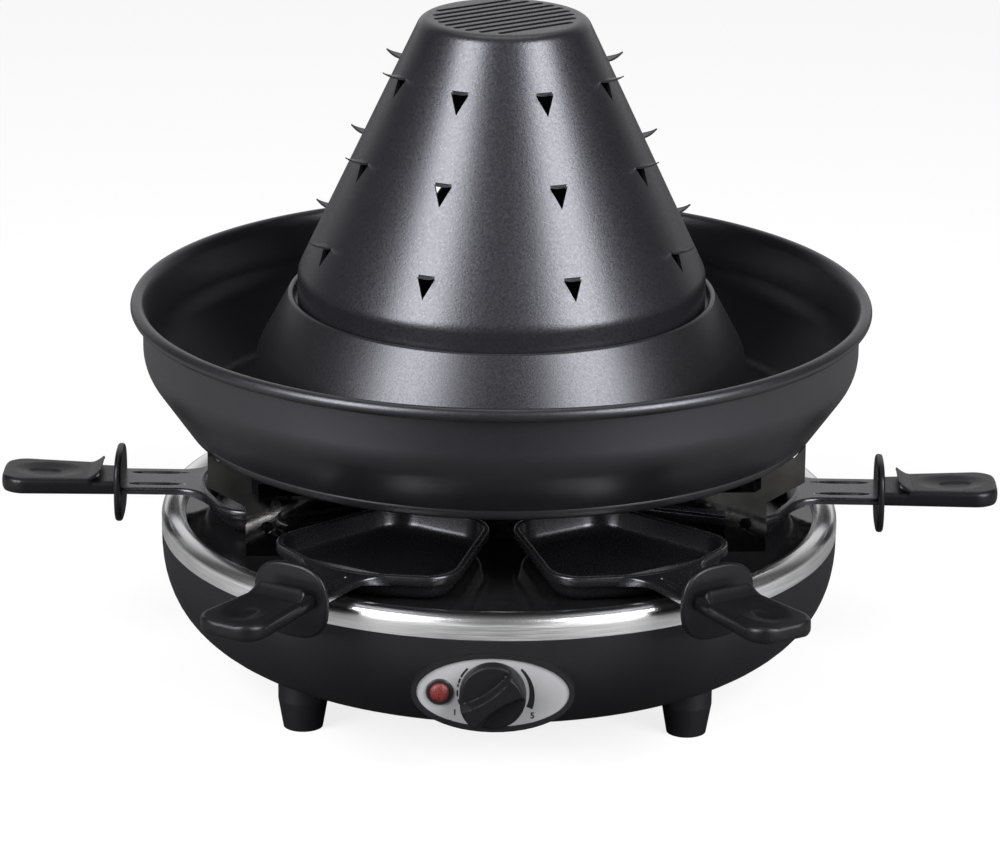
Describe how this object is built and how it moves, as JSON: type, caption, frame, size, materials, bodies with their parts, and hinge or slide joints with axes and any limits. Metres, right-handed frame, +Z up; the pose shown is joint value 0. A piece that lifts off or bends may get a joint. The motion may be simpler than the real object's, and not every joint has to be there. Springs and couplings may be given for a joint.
{
  "type": "raclette grill",
  "caption": "Round table raclette grill with pans under an electric heater, a broth ring on top and a cone-shaped hat with bent hooks for slices of meat.",
  "frame": {"origin": "on the table under the centre of the housing", "axes": "+Z up, -Y towards the control panel, +X to the right as seen from the front"},
  "size_m": [0.489, 0.4324, 0.328],
  "materials": {
    "housing_black": "fine grain",
    "cover_black": "satin",
    "foot_black": "fine grain",
    "screw_steel": "zinc plated",
    "ring_steel": "brushed round the ring",
    "tray_enamel": "glossy enamel",
    "panel_silver": "satin",
    "lens_red": "clear red",
    "trim_black": "satin",
    "lamp_glow": "clear",
    "thermostat_steel": "dull",
    "knob_black": "satin",
    "heater_oxide": "oxidised",
    "ceramic_white": "unglazed ceramic",
    "upright_steel": "bright",
    "nonstick_moat": "satin non-stick",
    "nonstick_hat": "satin non-stick",
    "pan_black": "satin non-stick",
    "handle_black": "satin",
    "rivet_steel": "plain"
  },
  "bodies": {
    "base": {"housing": "housing_black", "base_plate": "cover_black", "base_screws": "screw_steel", "foot_1": "foot_black", "foot_2": "foot_black", "foot_3": "foot_black", "foot_4": "foot_black", "foot_screws": "screw_steel", "rim_ring": "ring_steel", "pan_tray": "tray_enamel", "control_panel": "panel_silver", "indicator_lens": "lens_red", "lens_ring": "trim_black", "indicator_lamp": "lamp_glow", "thermostat": "thermostat_steel", "thermostat_nut": "screw_steel", "heater": "heater_oxide", "heater_bushes": "ceramic_white", "heater_clips": "upright_steel", "upright_1": "upright_steel", "upright_2": "upright_steel", "upright_3": "upright_steel", "upright_4": "upright_steel", "upright_screws": "screw_steel", "terminal_block": "ceramic_white", "cord_gland": "trim_black"},
    "knob": {"control_knob": "knob_black", "thermostat_shaft": "screw_steel"},
    "moat": {"moat": "nonstick_moat"},
    "hat": {"hat": "nonstick_hat"},
    "pan_body_1": {"pan_1": "pan_black", "handle_1": "handle_black", "rivets_1": "rivet_steel"},
    "pan_body_2": {"pan_2": "pan_black", "handle_2": "handle_black", "rivets_2": "rivet_steel"},
    "pan_body_3": {"pan_3": "pan_black", "handle_3": "handle_black", "rivets_3": "rivet_steel"},
    "pan_body_4": {"pan_4": "pan_black", "handle_4": "handle_black", "rivets_4": "rivet_steel"},
    "pan_body_5": {"pan_5": "pan_black", "handle_5": "handle_black", "rivets_5": "rivet_steel"},
    "pan_body_6": {"pan_6": "pan_black", "handle_6": "handle_black", "rivets_6": "rivet_steel"}
  },
  "joints": [
    {"name": "knob_turn", "type": "hinge", "parent": "base", "child": "knob", "pos_m": [0, -0.17, 0.047], "axis": [0, 1, 0], "range_deg": [0, 270]},
    {"name": "moat_lift", "type": "slide", "parent": "base", "child": "moat", "axis": [0, 0, 1], "range_m": [0, 0.12]},
    {"name": "hat_lift", "type": "slide", "parent": "moat", "child": "hat", "axis": [0, 0, 1], "range_m": [0, 0.15]},
    {"name": "pan_pull_1", "type": "slide", "parent": "base", "child": "pan_body_1", "axis": [0.9659, 0, 0.2588], "range_m": [0, 0.16]},
    {"name": "pan_pull_2", "type": "slide", "parent": "base", "child": "pan_body_2", "axis": [0.483, 0.8365, 0.2588], "range_m": [0, 0.16]},
    {"name": "pan_pull_3", "type": "slide", "parent": "base", "child": "pan_body_3", "axis": [-0.483, 0.8365, 0.2588], "range_m": [0, 0.16]},
    {"name": "pan_pull_4", "type": "slide", "parent": "base", "child": "pan_body_4", "axis": [-0.9659, 0, 0.2588], "range_m": [0, 0.16]},
    {"name": "pan_pull_5", "type": "slide", "parent": "base", "child": "pan_body_5", "axis": [-0.483, -0.8365, 0.2588], "range_m": [0, 0.16]},
    {"name": "pan_pull_6", "type": "slide", "parent": "base", "child": "pan_body_6", "axis": [0.5331, -0.8055, 0.2588], "range_m": [0, 0.16]}
  ]
}
